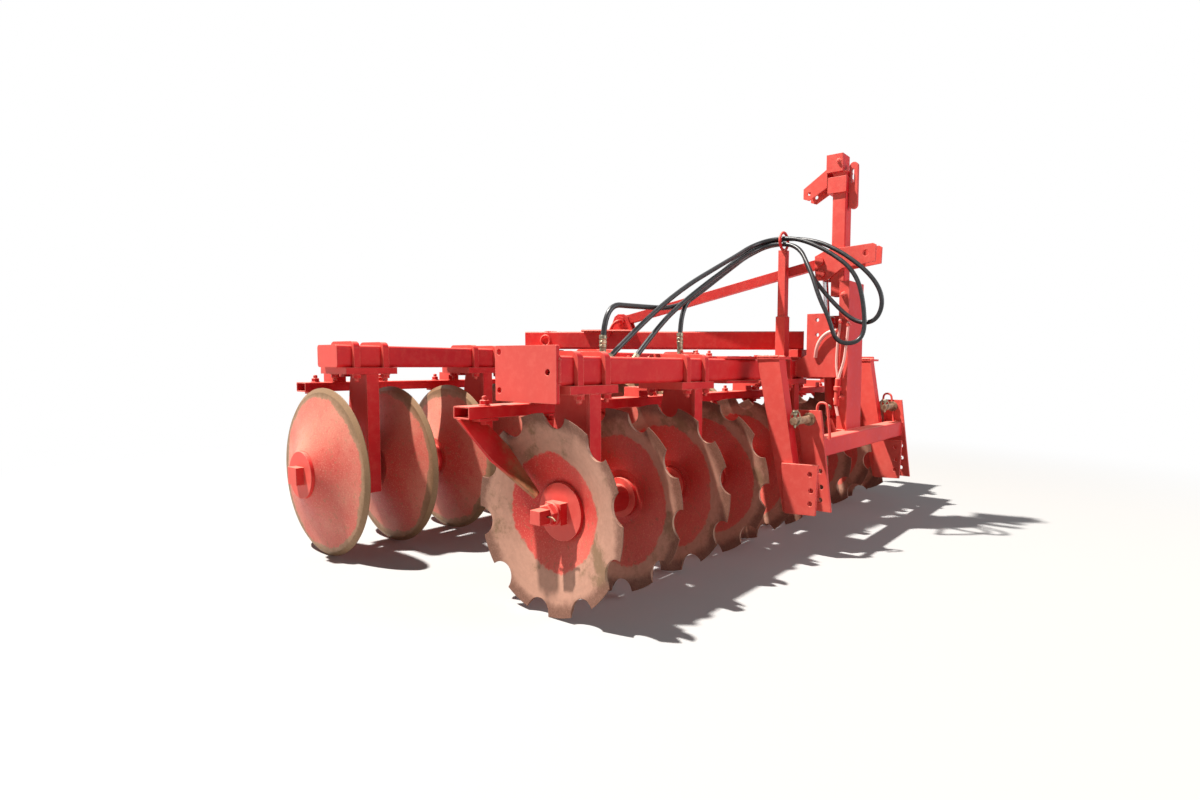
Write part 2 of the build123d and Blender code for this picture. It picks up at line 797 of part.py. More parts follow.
# Two hoses. Each rises from the block behind the front beam, passes the ring, hangs in a loop ahead of it
# and comes back through the ring to the block.
hose_r = 9
hoses = {
    "hose_inner": (
        (-768, -391, 695),
        (-590, -395, 828),
        (-350, -395, 972),
        (-100, -395, 1084),
        (40, -395, 1146),
        (158, -385, 1198),
        (246, -436, 1238),
        (257, -557, 1234),
        (250, -702, 1165),
        (242, -825, 1070),
        (236, -866, 935),
        (232, -872, 790),
        (166, -782, 775),
        (160, -750, 882),
        (166, -702, 968),
        (192, -655, 1075),
        (250, -566, 1204),
        (245, -436, 1218),
        (158, -385, 1172),
        (20, -395, 1112),
        (-150, -395, 1028),
        (-330, -395, 930),
        (-490, -395, 830),
        (-635, -391, 695),
    ),
    "hose_outer": (
        (-748, -368, 745),
        (-750, -372, 885),
        (-590, -372, 888),
        (-350, -372, 897),
        (-190, -374, 988),
        (-40, -375, 1073),
        (60, -375, 1128),
        (162, -365, 1180),
        (264, -424, 1234),
        (277, -556, 1236),
        (270, -702, 1192),
        (264, -872, 1070),
        (262, -938, 960),
        (262, -908, 866),
        (262, -818, 866),
        (262, -702, 972),
        (264, -612, 1085),
        (271, -566, 1206),
        (266, -426, 1220),
        (162, -365, 1158),
        (55, -375, 1108),
        (-60, -375, 1048),
        (-200, -374, 972),
        (-335, -372, 905),
        (-332, -372, 770),
    ),
}


def bend_radii(points):
    """One radius for each corner of a route, so that its arcs take most of the shorter run beside it."""
    radii = []
    for before, at, after in zip(points, points[1:], points[2:]):
        run_in = Vector(*at) - Vector(*before)
        run_out = Vector(*after) - Vector(*at)
        half_turn = radians(run_in.get_angle(run_out)) / 2
        radii.append(0.45 * min(run_in.length, run_out.length) / tan(half_turn))
    return radii


for name, points in hoses.items():
    radii = bend_radii(points)
    print(name, "bend radii", [round(r) for r in radii])
    with BuildPart() as hose:
        with BuildLine() as route:
            FilletPolyline(*points, radius=radii)
        with BuildSketch(Plane(origin=points[0], z_dir=Vector(*points[1]) - Vector(*points[0]))):
            Circle(hose_r)
        sweep(path=route.wires()[0])
    length = route.wires()[0].length
    print(name, "length", round(length), "and section times length", round(pi * hose_r**2 * length / 1000), "cm3")
    finish(hose, name)

# Blocks behind the front beam, with a crimped fitting for each end of the hoses
block_low = 640
block_top = 672
block_deep = 50
fitting_r = 11
fitting_nut_r = 13
fitting_nut_t = 18
fitting_nut_up = 12
fitting_sunk = 8
with BuildPart() as fittings:
    for low_x, high_x in ((-850, -590), (-360, -304)):
        with BuildSketch(Plane.XY.offset(block_low)):
            with Locations(((low_x + high_x) / 2, front_back_y + block_deep / 2)):
                Rectangle(high_x - low_x, block_deep)
        extrude(amount=block_top - block_low)
    for points in hoses.values():
        for end, inner in ((points[0], points[1]), (points[-1], points[-2])):
            away = (Vector(*end) - Vector(*inner)).normalized()
            reach = (end[2] - block_top + fitting_sunk) / -away.Z
            with BuildSketch(Plane(origin=end, z_dir=away)):
                Circle(fitting_r)
            extrude(amount=reach)
            with BuildSketch(Plane(origin=Vector(*end) + away * (reach - fitting_nut_t - fitting_nut_up), z_dir=away)):
                RegularPolygon(fitting_nut_r, 6)
            extrude(amount=fitting_nut_t)
finish(fittings, "hose_fittings")

# Angling cylinder between the beams: its barrel turns on the front pin, and the rod slides in it.
angle_front = Vector(279, -359, 0)
angle_rear = Vector(360, 461, 0)
angle_z = 694
angle_eye_h = 34
angle_run = angle_rear - angle_front
angle_plane = Plane(
    origin=(angle_front.X, angle_front.Y, angle_z),
    x_dir=angle_run.cross(Vector(0, 0, 1)),
    z_dir=angle_run,
)
barrel_r = 38
barrel_start = 36
barrel_end = 645
gland_r = 42
gland_t = 24
rod_r = 20
rod_in_barrel = 310
angle_pin_r = 15
eye_bore_r = 20
with BuildPart() as barrel:
    with BuildSketch(angle_plane.offset(barrel_start)):
        Circle(barrel_r)
    extrude(amount=barrel_end - barrel_start)
    with BuildSketch(angle_plane.offset(barrel_end)):
        Circle(gland_r)
    extrude(amount=gland_t)
    with BuildSketch(Plane.XY.offset(angle_z - angle_eye_h / 2)):
        with Locations((angle_front.X, angle_front.Y)):
            Circle(33)
            Circle(angle_pin_r + running_gap, mode=Mode.SUBTRACT)
        with Locations(angle_front + angle_run.normalized() * 30):
            Rectangle(36, 24)
    extrude(amount=angle_eye_h)
    with BuildSketch(Plane.XY.offset(angle_z - angle_eye_h / 2)):
        with Locations((angle_front.X, angle_front.Y)):
            Circle(angle_pin_r + running_gap)
    extrude(amount=angle_eye_h, mode=Mode.SUBTRACT)
    with BuildSketch(angle_plane.offset(barrel_end + gland_t - rod_in_barrel)):
        Circle(rod_r + running_gap)
    extrude(amount=rod_in_barrel, mode=Mode.SUBTRACT)
finish(barrel, "angle_cylinder_barrel")

rod_start = 480
with BuildPart() as rod:
    with BuildSketch(angle_plane.offset(rod_start)):
        Circle(rod_r)
    extrude(amount=angle_run.length - rod_start - 24)
    with BuildSketch(Plane.XY.offset(angle_z - angle_eye_h / 2)):
        with Locations((angle_rear.X, angle_rear.Y)):
            Circle(33)
    extrude(amount=angle_eye_h)
    with BuildSketch(Plane.XY.offset(angle_z - angle_eye_h / 2)):
        with Locations((angle_rear.X, angle_rear.Y)):
            Circle(eye_bore_r)
    extrude(amount=angle_eye_h, mode=Mode.SUBTRACT)
finish(rod, "angle_cylinder_rod")

# Lugs and pins of the angling cylinder on both beams
lug_w = 66
eye_gap = 3
lug_low = angle_z - angle_eye_h / 2 - eye_gap
lug_high = angle_z + angle_eye_h / 2 + eye_gap
Lug = namedtuple("Lug", "name at face tip")
for lug in (
    Lug("angle_front_lugs", angle_front, front_back_y, angle_front.Y + 30),
    Lug("angle_rear_lugs", angle_rear, rear_face_y, angle_rear.Y - 30),
):
    with BuildPart() as lugs:
        for low in (lug_low - lug_t, lug_high):
            with BuildSketch(Plane.XY.offset(low)):
                with Locations((lug.at.X, (lug.face + lug.tip) / 2)):
                    Rectangle(lug_w, abs(lug.tip - lug.face))
            extrude(amount=lug_t)
        with BuildSketch(Plane.XY.offset(lug_low - lug_t)):
            with Locations((lug.at.X, lug.at.Y)):
                Circle(angle_pin_r)
        extrude(amount=lug_high - lug_low + 2 * lug_t + 12)
    finish(lugs, lug.name)
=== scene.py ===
# %% [markdown]
# # A two-row disc harrow, dressed in Blender
#
# The steel parts come from the CAD model and stay exactly where they are. This lesson gives them a camera,
# light and finishes, and adds what is too small for the CAD: nuts, welds, clips, pipes and the two hoses.
# Everything is in metres. X runs across the machine, Y to its rear, and Z up from the floor.

# %% Load the machine
import math
from collections import namedtuple

import bmesh
import bpy
from mathutils import Matrix, Vector


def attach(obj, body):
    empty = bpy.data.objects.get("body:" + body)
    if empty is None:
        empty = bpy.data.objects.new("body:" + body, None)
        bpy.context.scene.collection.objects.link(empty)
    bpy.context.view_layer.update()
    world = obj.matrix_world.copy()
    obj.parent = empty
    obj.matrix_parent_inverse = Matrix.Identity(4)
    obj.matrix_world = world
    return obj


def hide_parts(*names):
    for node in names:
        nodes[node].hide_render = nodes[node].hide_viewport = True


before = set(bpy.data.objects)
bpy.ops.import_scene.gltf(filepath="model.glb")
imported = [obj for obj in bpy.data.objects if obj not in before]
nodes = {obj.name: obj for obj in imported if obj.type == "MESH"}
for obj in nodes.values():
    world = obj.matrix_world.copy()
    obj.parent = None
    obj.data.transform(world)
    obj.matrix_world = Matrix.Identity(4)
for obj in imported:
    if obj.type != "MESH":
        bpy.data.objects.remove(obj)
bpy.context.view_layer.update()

# %% [markdown]
# ## Camera
# The photograph was taken close to the machine's front right corner, at about knee to hip height, with a
# lens as wide as a phone's. A camera can be aimed with a target, but a matrix of three directions keeps a
# slight roll as well, so that is used here. The small shift fits a picture that was cropped off centre.

# %% Place the camera
photo_width_px = 1200
focal_length_px = 646.14
sensor_width_mm = 36
camera_place = (-2.292, -1.797, 0.696)
view_right = Vector((0.581935, -0.813202, 0.007383))
view_up = Vector((0.050939, 0.045510, 0.997664))
view_forward = Vector((0.811639, 0.580199, -0.067908))


def add_object(name, data):
    """Puts a camera, curve, mesh or lamp into the scene."""
    made = bpy.data.objects.new(name, data)
    bpy.context.scene.collection.objects.link(made)
    return made


camera_data = bpy.data.cameras.new("camera")
camera_data.sensor_width = sensor_width_mm
camera_data.lens = sensor_width_mm * focal_length_px / photo_width_px
camera_data.shift_x = -0.0706
camera_data.shift_y = 0.0062
camera_data.clip_start = 0.05
camera_data.clip_end = 200
camera = add_object("camera", camera_data)
turn = Matrix((view_right, view_up, -view_forward)).transposed().to_4x4()
camera.matrix_world = Matrix.Translation(camera_place) @ turn
bpy.context.scene.camera = camera
bpy.context.scene.view_settings.view_transform = "Standard"
print("lens", round(camera_data.lens, 2), "mm")

# %% [markdown]
# ## Hoses
# Two rubber hoses rise from a block behind the front beam, pass through the ring on the post, hang ahead of
# it in two loops and come back. A hose bends in one smooth line, so each is a NURBS curve through a few
# control points, and a round bevel gives it its thickness. The bevel is 1 m and each point's own
# radius scales it down, because Blender also grows a curve's measured box by that radius. The order is set
# after the points, because a curve with no points falls back to straight runs.

# %% Hose routes, in metres
hose_radius = 0.009
hose_routes = {
    "hose_inner": [
        (-0.768, -0.391, 0.695), (-0.590, -0.395, 0.828), (-0.350, -0.395, 0.972), (-0.100, -0.395, 1.084),
        (0.040, -0.395, 1.146), (0.158, -0.385, 1.198), (0.246, -0.436, 1.238), (0.257, -0.557, 1.234),
        (0.250, -0.702, 1.165), (0.242, -0.825, 1.070), (0.236, -0.866, 0.935), (0.232, -0.872, 0.790),
        (0.166, -0.782, 0.775), (0.160, -0.750, 0.882), (0.166, -0.702, 0.968), (0.192, -0.655, 1.075),
        (0.250, -0.566, 1.204), (0.245, -0.436, 1.218), (0.158, -0.385, 1.172), (0.020, -0.395, 1.112),
        (-0.150, -0.395, 1.028), (-0.330, -0.395, 0.930), (-0.490, -0.395, 0.830), (-0.635, -0.391, 0.695),
    ],
    "hose_outer": [
        (-0.748, -0.368, 0.745), (-0.750, -0.372, 0.885), (-0.590, -0.372, 0.888), (-0.350, -0.372, 0.897),
        (-0.190, -0.374, 0.988), (-0.040, -0.375, 1.073), (0.060, -0.375, 1.128), (0.162, -0.365, 1.180),
        (0.264, -0.424, 1.234), (0.277, -0.556, 1.236), (0.270, -0.702, 1.192), (0.264, -0.872, 1.070),
        (0.262, -0.938, 0.960), (0.262, -0.908, 0.866), (0.262, -0.818, 0.866), (0.262, -0.702, 0.972),
        (0.264, -0.612, 1.085), (0.271, -0.566, 1.206), (0.266, -0.426, 1.220), (0.162, -0.365, 1.158),
        (0.055, -0.375, 1.108), (-0.060, -0.375, 1.048), (-0.200, -0.374, 0.972), (-0.335, -0.372, 0.905),
        (-0.332, -0.372, 0.770),
    ],
}
print(", ".join(f"{name} has {len(route)} control points" for name, route in hose_routes.items()))


# %% Bend the hoses
def bent_curve(name, points, radius, sides_step, path_step, closed=False):
    """A round hose or rod along given points. Higher steps make it smoother."""
    curve = bpy.data.curves.new(name, "CURVE")
    curve.dimensions = "3D"
    curve.bevel_depth = 1
    curve.bevel_resolution = sides_step
    curve.resolution_u = path_step
    curve.use_fill_caps = True
    spline = curve.splines.new("NURBS")
    spline.points.add(len(points) - 1)
    for point, place in zip(spline.points, points):
        point.co = (*place, 1)
        point.radius = radius
    spline.order_u = 3
    spline.use_cyclic_u = closed
    spline.use_endpoint_u = not closed
    return add_object(name, curve)


hose_pieces = []
for name, route in hose_routes.items():
    piece = bent_curve(name + "_rubber", route, hose_radius, 5, 10)
    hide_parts(name)
    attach(piece, "frame")
    hose_pieces.append(piece)

# %% [markdown]
# ## Floor, sky and lamps
# The photograph has a plain white ground. A pale floor keeps the machine's shadow, and fades to white away
# from it, so that no horizon shows. The shadows of the axle ends on their discs tell where the sun stood:
# high, to the right of the machine and behind it. Tops and right-hand sides are bright, and the faces towards
# the tractor are in shade. One round lamp stands in for it, small enough to keep its shadows crisp, and a
# weak and wide one in front opens the shade. Every finish is a tree of shader nodes, so helpers for those
# come first.

# %% Nodes by short calls
def shader_node(tree, kind, **settings):
    made = tree.nodes.new(kind)
    for key, value in settings.items():
        setattr(made, key, value)
    return made


def plug(tree, source, target):
    tree.links.new(source, target)


def feed(tree, value, socket):
    """Sets a socket to a number or a colour, or plugs another node's output into it."""
    if isinstance(value, (int, float, tuple)):
        socket.default_value = value
    else:
        plug(tree, value, socket)


def map_range(tree, value, low, high, out_low=0.0, out_high=1.0):
    """Eases from out_low to out_high while the value goes from low to high."""
    made = shader_node(tree, "ShaderNodeMapRange", interpolation_type="SMOOTHSTEP")
    plug(tree, value, made.inputs["Value"])
    for key, number in (("From Min", low), ("From Max", high), ("To Min", out_low), ("To Max", out_high)):
        made.inputs[key].default_value = number
    return made.outputs["Result"]


def arithmetic(tree, operation, first, second=0.0):
    made = shader_node(tree, "ShaderNodeMath", operation=operation)
    feed(tree, first, made.inputs[0])
    feed(tree, second, made.inputs[1])
    return made.outputs[0]


def plus(tree, first, second):
    return arithmetic(tree, "ADD", first, second)


def minus(tree, first, second):
    return arithmetic(tree, "SUBTRACT", first, second)


def times(tree, first, second):
    return arithmetic(tree, "MULTIPLY", first, second)


def blend_colours(tree, amount, first, second):
    """The first colour at amount 0, the second at 1."""
    made = shader_node(tree, "ShaderNodeMix", data_type="RGBA")
    for socket, value in ((made.inputs[0], amount), (made.inputs[6], first), (made.inputs[7], second)):
        feed(tree, value, socket)
    return made.outputs[2]


def new_finish(name):
    """A material, its tree, its surface shader, and the place on the part in metres."""
    finish = bpy.data.materials.new(name)
    finish.use_nodes = True
    tree = finish.node_tree
    place = shader_node(tree, "ShaderNodeTexCoord").outputs["Object"]
    return finish, tree, tree.nodes["Principled BSDF"], place


print("helpers for shader nodes are ready")


# %% Floor
def seen_directly(tree):
    """1 for what the camera sees, itself or in a mirror or glass, and 0 for light on other things."""
    rays = shader_node(tree, "ShaderNodeLightPath")
    seen = arithmetic(tree, "MAXIMUM", rays.outputs["Is Camera Ray"], rays.outputs["Is Glossy Ray"])
    return arithmetic(tree, "MAXIMUM", seen, rays.outputs["Is Transmission Ray"])


floor_grey = 0.42
floor_radius = 60
fade_from, fade_to = 1.7, 4.2
floor_mesh = bpy.data.meshes.new("floor")
floor_form = bmesh.new()
bmesh.ops.create_circle(floor_form, cap_ends=True, radius=floor_radius, segments=96)
floor_form.to_mesh(floor_mesh)
floor_form.free()
floor = add_object("floor", floor_mesh)
floor.location.z = -0.001

floor_finish, tree, matt, place = new_finish("pale_floor")
matt.inputs["Base Color"].default_value = (floor_grey, floor_grey, floor_grey, 1)
matt.inputs["Roughness"].default_value = 0.9
matt.inputs["Specular IOR Level"].default_value = 0.0
distance = shader_node(tree, "ShaderNodeVectorMath", operation="LENGTH")
plug(tree, place, distance.inputs[0])
far = map_range(tree, distance.outputs["Value"], fade_from, fade_to)
white = shader_node(tree, "ShaderNodeEmission")
white.inputs["Strength"].default_value = 1.0
mixed = shader_node(tree, "ShaderNodeMixShader")
plug(tree, times(tree, far, seen_directly(tree)), mixed.inputs[0])
plug(tree, matt.outputs[0], mixed.inputs[1])
plug(tree, white.outputs[0], mixed.inputs[2])
plug(tree, mixed.outputs[0], tree.nodes["Material Output"].inputs["Surface"])
floor_mesh.materials.append(floor_finish)
print("floor at", floor.location.z, "m")

# %% Sky and lamps
sky_seen, sky_light = 1.0, 0.17
world = bpy.data.worlds.new("studio")
bpy.context.scene.world = world
world.use_nodes = True
tree = world.node_tree
sky = tree.nodes["Background"]
plug(tree, map_range(tree, seen_directly(tree), 0.0, 1.0, sky_light, sky_seen), sky.inputs["Strength"])
sky.inputs["Color"].default_value = (1, 1, 1, 1)


def hang_lamp(name, place, aim, size, power, tint):
    lamp = bpy.data.lights.new(name, "AREA")
    lamp.shape = "DISK"
    lamp.size = size
    lamp.energy = power
    lamp.color = tint
    holder = add_object(name, lamp)
    holder.location = place
    holder.rotation_euler = (Vector(aim) - Vector(place)).to_track_quat("-Z", "Y").to_euler()


# The sun lamp hangs 20 m off, so that its rays are nearly parallel, as the sun's are
hang_lamp("sun_side", (-6.2, 6.7, 18.4), aim=(-0.2, 0, 0.5), size=0.6, power=10600, tint=(1.0, 0.96, 0.9))
hang_lamp("front_fill", (1.8, -6.2, 2.8), aim=(0, 0, 0.6), size=3.0, power=170, tint=(0.93, 0.96, 1.0))
print("two lamps and a white sky")

# %% [markdown]
# ## Red paint
# Most of the machine is sprayed red. Faces that look to the sun get a paler, chalky pink in their colour,
# which is painted sunlight, and faces in the shade keep the deep red. Its edges are paler too, from wear and
# as a painted highlight; the paint chips to dark steel there and gathers dust low down. An image could hold
# all that, but it would blur from near by, so the shader builds it up in layers: two reds by a slow noise,
# painted sunlight as chalky pink by how far a face looks to the sun, paler edges (wear and painted highlight)
# and chips where the Bevel node finds an edge, and dust by height. The same Bevel node rounds the look of the
# sharp CAD edges.

# %% Helpers for finishes
# Faces that look this way get a paler pink in their paint colour: painted sunlight.
sunny_way = (-0.46, 0.34, 0.82)


def screen_colour(red, green, blue):
    """The colour as it looks on screen, from 0 to 255, as the shader wants it."""
    linear = []
    for part in (red, green, blue):
        linear.append(((part / 255 + 0.055) / 1.055) ** 2.4 if part > 10 else part / 255 / 12.92)
    return (*linear, 1)


def scaled(colour, share):
    """The same colour, lighter or darker."""
    return tuple(min(1.0, share * part) for part in colour[:3]) + (1,)


def rounded_normal(tree, width):
    """The surface's direction, with every edge rounded over the width."""
    soft = shader_node(tree, "ShaderNodeBevel", samples=4)
    soft.inputs["Radius"].default_value = width
    return soft.outputs["Normal"]


def alignment(tree, first, second):
    """1 where two directions agree, 0 where they are square to each other."""
    made = shader_node(tree, "ShaderNodeVectorMath", operation="DOT_PRODUCT")
    feed(tree, first, made.inputs[0])
    feed(tree, second, made.inputs[1])
    return made.outputs["Value"]


def edge_mask(tree, soft_normal):
    """1 on the edges that the softened direction rounds, 0 on flats."""
    flat = shader_node(tree, "ShaderNodeNewGeometry").outputs["True Normal"]
    return map_range(tree, alignment(tree, soft_normal, flat), 0.99, 0.85)


def painted_sun_mask(tree, low, high, most):
    """How far a face looks to the sun. Finishes pale their colour by it, as painted sunlight."""
    normal = shader_node(tree, "ShaderNodeNewGeometry").outputs["Normal"]
    return map_range(tree, alignment(tree, normal, sunny_way), low, high, 0.0, most)


def noise(tree, place, scale, detail, roughness=0.55):
    made = shader_node(tree, "ShaderNodeTexNoise")
    plug(tree, place, made.inputs["Vector"])
    made.inputs["Scale"].default_value = scale
    made.inputs["Detail"].default_value = detail
    made.inputs["Roughness"].default_value = roughness
    return made.outputs["Fac"]


def add_bump(tree, surface, soft_normal, height, depth, strength):
    bump = shader_node(tree, "ShaderNodeBump")
    bump.inputs["Distance"].default_value = depth
    bump.inputs["Strength"].default_value = strength
    plug(tree, height, bump.inputs["Height"])
    plug(tree, soft_normal, bump.inputs["Normal"])
    plug(tree, bump.outputs["Normal"], surface.inputs["Normal"])


# The paler pink towards this way is painted sunlight.
print("the paint bleaches towards", sunny_way)

# %% Make a paint
dusty_below = 0.45
splash_height = 0.05


def paint(name, deep, bright, chalk_and_sunlit_pink, bare, dust, painted_sunlight=0.75, chips=0.5):
    finish, tree, coat, place = new_finish(name)
    coat.inputs["Specular IOR Level"].default_value = 0.22
    slow = noise(tree, place, 2.3, 3)
    fine = noise(tree, place, 34, 6, 0.7)
    speck = noise(tree, place, 160, 4, 0.65)
    rub = noise(tree, place, 12, 4, 0.6)
    blotch = noise(tree, place, 70, 5, 0.8)
    soft_normal = rounded_normal(tree, 0.0025)
    edges = edge_mask(tree, soft_normal)
    # Two reds, paled towards the sun as painted sunlight, and along the edges as wear and a painted highlight
    colour = blend_colours(tree, map_range(tree, slow, 0.35, 0.65), deep, bright)
    sunlit_and_faded = plus(tree, painted_sun_mask(tree, 0.1, 0.95, painted_sunlight), map_range(tree, fine, 0.42, 0.7, 0.0, 0.1))
    colour = blend_colours(tree, sunlit_and_faded, colour, chalk_and_sunlit_pink)
    # Paler along the edges: partly wear, partly a painted highlight where edges catch the light.
    rubbed_and_highlit = times(tree, edges, map_range(tree, rub, 0.35, 0.6, 0.25, 0.85))
    colour = blend_colours(tree, rubbed_and_highlit, colour, scaled(chalk_and_sunlit_pink, 1.2))
    # Dust, thickest near the floor
    where = shader_node(tree, "ShaderNodeSeparateXYZ")
    plug(tree, place, where.inputs[0])
    low = map_range(tree, where.outputs["Z"], dusty_below, splash_height, 0.0, 0.6)
    soiled = times(tree, low, map_range(tree, slow, 0.3, 0.75, 0.05, 0.6))
    colour = blend_colours(tree, soiled, colour, dust)
    # Chips on edges and a few spots elsewhere
    on_edges = times(tree, edges, map_range(tree, speck, 0.56, 0.66, 0.0, chips))
    chipped = arithmetic(tree, "MAXIMUM", on_edges, map_range(tree, blotch, 0.74, 0.78, 0.0, 0.8 * chips))
    plug(tree, blend_colours(tree, chipped, colour, bare), coat.inputs["Base Color"])
    rough = plus(tree, map_range(tree, fine, 0.3, 0.7, 0.40, 0.58), times(tree, soiled, 0.3))
    plug(tree, rough, coat.inputs["Roughness"])
    height = minus(tree, speck, times(tree, chipped, 0.8))
    add_bump(tree, coat, soft_normal, height, depth=0.0006, strength=0.35)
    return finish


red = paint(
    "red_paint",
    deep=screen_colour(194, 20, 31),
    bright=screen_colour(214, 38, 40),
    # The chalky pink is the colour of sunlit faces (painted sunlight) and of worn edges
    chalk_and_sunlit_pink=screen_colour(240, 140, 122),
    bare=screen_colour(104, 52, 44),
    dust=screen_colour(196, 120, 98),
)
print("made", red.name)

# %% [markdown]
# ## Disc steel
# A disc starts out red all over, and the soil polishes the paint away from the rim inwards, furthest on the
# front row's end disc. So its finish goes by the distance from the axle: red round the hub under a thin coat
# of pale soil, paler still as painted sunlight where a face looks to the sun, a ragged border, bare tan steel
# with streaks that run round, and a darker rim, which is soil and painted shade. An image would have to be
# fitted to each disc. The distance is easy to get in a shader, because a part's own coordinates are those of
# the whole machine, and they turn with it. The angle round the axle stretches the streaks.

# %% Make a disc finish
Discs = namedtuple("Discs", "axle paint_edge end_paint_edge end_to rim_from rim_to filmy")


def disc_steel(name, discs, hub, film, middle, stain, rim):
    """Paint is worn off outside paint_edge, or end_paint_edge on discs to the right of end_to."""
    finish, tree, steel, place = new_finish(name)
    steel.inputs["Specular IOR Level"].default_value = 0.3
    parts = shader_node(tree, "ShaderNodeSeparateXYZ")
    plug(tree, place, parts.inputs[0])
    across = minus(tree, parts.outputs["Y"], discs.axle[0])
    above = minus(tree, parts.outputs["Z"], discs.axle[1])
    squares = plus(tree, times(tree, across, across), times(tree, above, above))
    radius = arithmetic(tree, "SQRT", squares)
    around = arithmetic(tree, "ARCTAN2", above, across)
    # Streaks of the soil: noise that is stretched along each circle round the axle
    polar = shader_node(tree, "ShaderNodeCombineXYZ")
    for socket, value, stretch in ((0, radius, 90.0), (1, around, 3.0), (2, parts.outputs["X"], 9.0)):
        plug(tree, times(tree, value, stretch), polar.inputs[socket])
    streak = noise(tree, polar.outputs[0], 1.0, 5, 0.6)
    patch = noise(tree, place, 5, 5, 0.6)
    cloud = noise(tree, place, 8, 7, 0.7)
    grain = noise(tree, place, 60, 6, 0.7)
    fleck = noise(tree, place, 230, 4, 0.7)
    # The ragged border between paint and steel
    wander = times(tree, minus(tree, patch, 0.5), 0.075)
    fray = times(tree, minus(tree, grain, 0.5), 0.022)
    ragged = plus(tree, plus(tree, radius, wander), fray)
    end_edges = (discs.end_paint_edge, discs.paint_edge)
    edge = map_range(tree, parts.outputs["X"], discs.end_to, discs.end_to + 0.02, *end_edges)
    worn_off = map_range(tree, minus(tree, ragged, edge), -0.003, 0.005)
    # Bare steel, with streaks, stains and bright scratches
    metal = blend_colours(tree, map_range(tree, streak, 0.3, 0.8), middle, scaled(middle, 0.86))
    metal = blend_colours(tree, map_range(tree, grain, 0.35, 0.7, 0.0, 0.5), metal, scaled(middle, 0.78))
    metal = blend_colours(tree, map_range(tree, cloud, 0.5, 0.64, 0.0, 0.85), metal, stain)
    scratched = times(tree, map_range(tree, streak, 0.68, 0.72, 0.0, 0.7), map_range(tree, fleck, 0.4, 0.6))
    metal = blend_colours(tree, scratched, metal, scaled(middle, 1.5))
    # Red paint under a thin coat of pale soil, paler towards the sun as painted sunlight
    soil_film_and_sunlight = times(tree, map_range(tree, ragged, 0.09, discs.rim_from, 0.25, 1.0), discs.filmy)
    soil_film_and_sunlight = times(tree, soil_film_and_sunlight, map_range(tree, patch, 0.3, 0.7, 0.35, 1.0))
    # Painted sunlight: paler where a face looks to the sun
    soil_film_and_sunlight = plus(tree, soil_film_and_sunlight, painted_sun_mask(tree, 0.45, 0.95, 0.9 * discs.filmy))
    painted = blend_colours(tree, soil_film_and_sunlight, hub, film)
    painted = blend_colours(tree, map_range(tree, fleck, 0.52, 0.66, 0.0, 0.45), painted, scaled(film, 1.1))
    painted = blend_colours(tree, map_range(tree, grain, 0.54, 0.68, 0.0, 0.5), painted, stain)
    painted = blend_colours(tree, map_range(tree, grain, 0.46, 0.34, 0.0, 0.35), painted, scaled(hub, 0.8))
    # Both together, with the darker rim, which is soil and painted shade
    colour = blend_colours(tree, worn_off, painted, metal)
    rim_soil_and_shade = map_range(tree, ragged, discs.rim_from, discs.rim_to, 0.0, 0.92)
    rim_soil_and_shade = times(tree, rim_soil_and_shade, map_range(tree, fleck, 0.3, 0.6, 0.7, 1.0))
    plug(tree, blend_colours(tree, rim_soil_and_shade, colour, rim), steel.inputs["Base Color"])
    plug(tree, map_range(tree, grain, 0.3, 0.7, 0.42, 0.62), steel.inputs["Roughness"])
    plug(tree, times(tree, worn_off, 0.25), steel.inputs["Metallic"])
    height = minus(tree, plus(tree, times(tree, streak, 0.25), grain), worn_off)
    add_bump(tree, steel, rounded_normal(tree, 0.002), height, depth=0.0005, strength=0.45)
    return finish


front_disc_steel = disc_steel(
    "notched_disc_steel",
    Discs((-0.481, 0.280), 0.205, 0.160, end_to=-0.99, rim_from=0.232, rim_to=0.262, filmy=0.4),
    hub=screen_colour(190, 46, 44),
    film=screen_colour(214, 132, 112),
    middle=screen_colour(186, 140, 120),
    stain=screen_colour(124, 98, 72),
    # The darker rim colour is soil and painted shade
    rim=screen_colour(112, 76, 62),
)
rear_disc_steel = disc_steel(
    "plain_disc_steel",
    Discs((0.574, 0.300), 0.262, 0.262, end_to=-1.5, rim_from=0.266, rim_to=0.284, filmy=0.6),
    hub=screen_colour(198, 66, 60),
    film=screen_colour(216, 158, 134),
    middle=screen_colour(170, 132, 104),
    stain=screen_colour(150, 118, 88),
    rim=screen_colour(132, 104, 76),
)
print("made", front_disc_steel.name, "and", rear_disc_steel.name)

# %% [markdown]
# ## Scraper blades
# Soil slides along a blade's lower edge and off its tip, and has worn the paint away there down to tan steel.
# The border could be drawn on an image, but two distances do it: one along the blade from its bolt to its
# tip, and one across it. Both come from two points on the blade's middle line.

